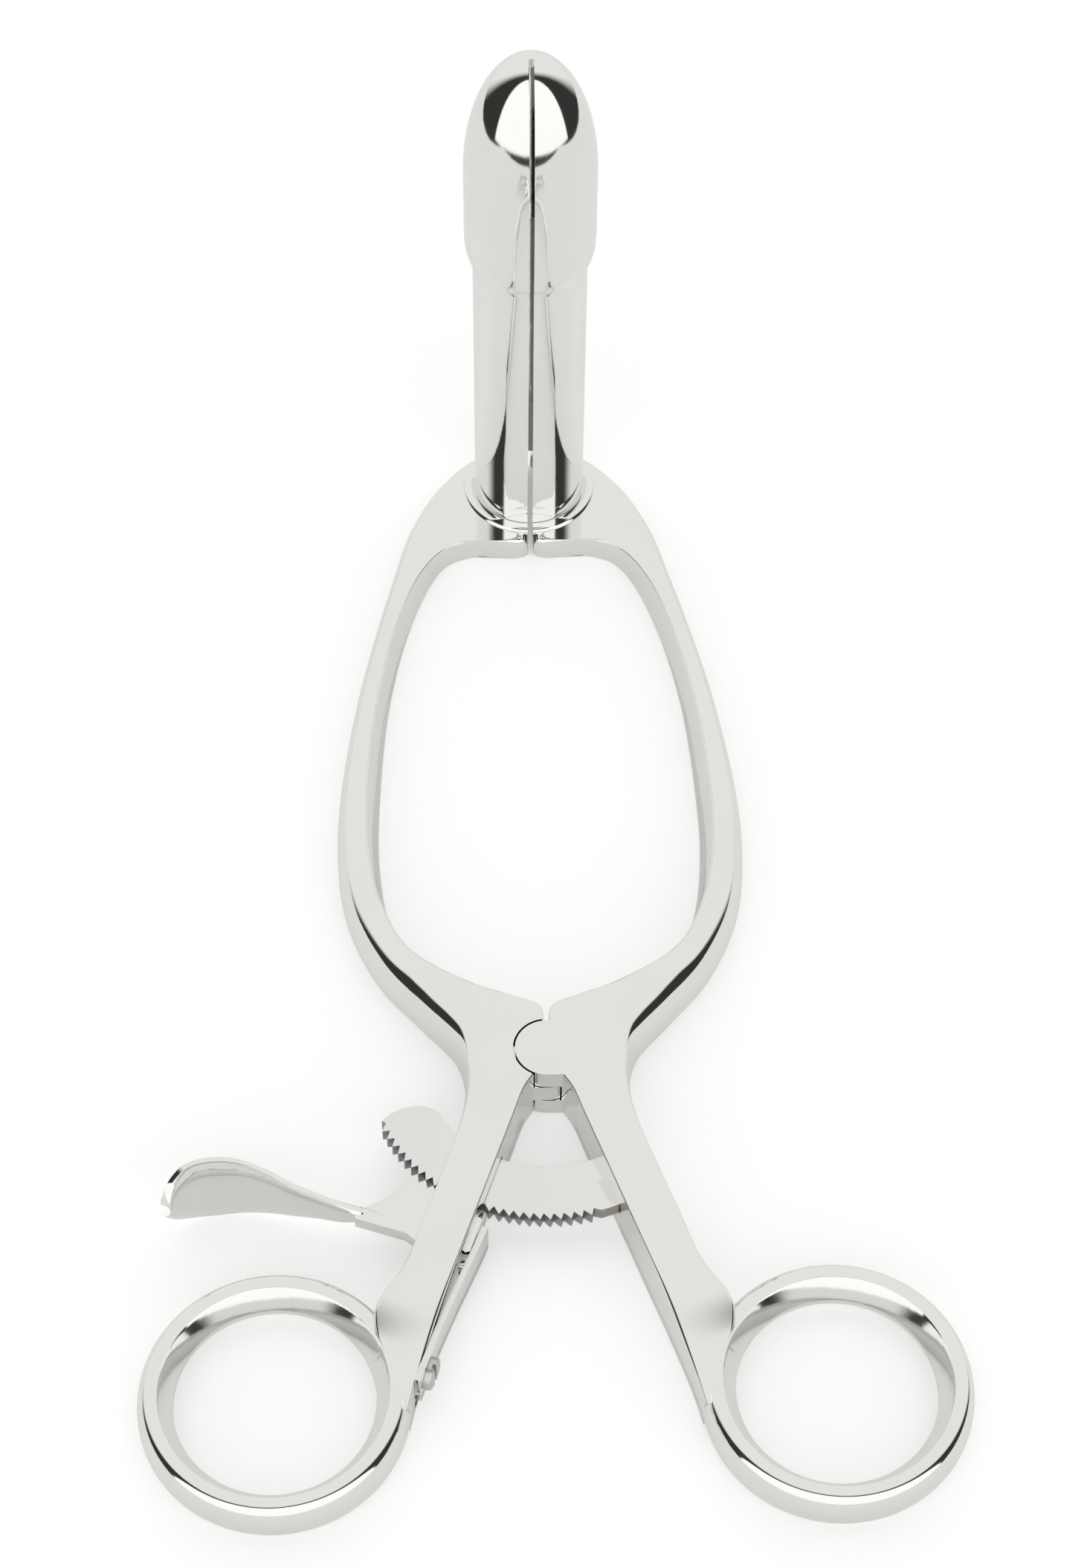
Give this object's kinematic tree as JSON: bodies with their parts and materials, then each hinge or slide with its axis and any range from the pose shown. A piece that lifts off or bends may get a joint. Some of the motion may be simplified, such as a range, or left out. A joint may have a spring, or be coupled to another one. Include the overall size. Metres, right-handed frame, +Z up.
{
  "type": "two-bladed speculum with finger rings and ratchet",
  "caption": "Two-bladed speculum with half-tube blades square to a bowed frame, two finger rings, a toothed ratchet bar and a thumb release lever.",
  "frame": {"origin": "point on the underside of the pivot joint, on the hinge axis", "axes": "+Z up through the frame and along the blades, +Y from the pivot towards the blades, +X towards the right ring"},
  "size_m": [0.0988, 0.1692, 0.0825],
  "materials": {
    "polished_steel": "polished",
    "dull_steel": "satin"
  },
  "bodies": {
    "left": {"left_arm": "polished_steel", "left_blade": "polished_steel", "lever_pin": "dull_steel", "leaf_spring": "polished_steel", "spring_screw": "dull_steel"},
    "right": {"right_arm": "polished_steel", "right_blade": "polished_steel", "hinge_pin": "dull_steel", "ratchet_bar": "polished_steel", "ratchet_rivet": "dull_steel"},
    "lever": {"release_lever": "polished_steel"}
  },
  "joints": [
    {"name": "main_hinge", "type": "hinge", "parent": "left", "child": "right", "pos_m": [0, 0, 0], "axis": [0, 0, -1], "range_deg": [0, 35.2]},
    {"name": "lever_pivot", "type": "hinge", "parent": "left", "child": "lever", "pos_m": [-0.01318, -0.0252, 0], "axis": [0, 0, 1], "range_deg": [-5.3, 4.5], "stiffness_Nm_per_rad": 0.05, "deforming": ["leaf_spring"]}
  ]
}
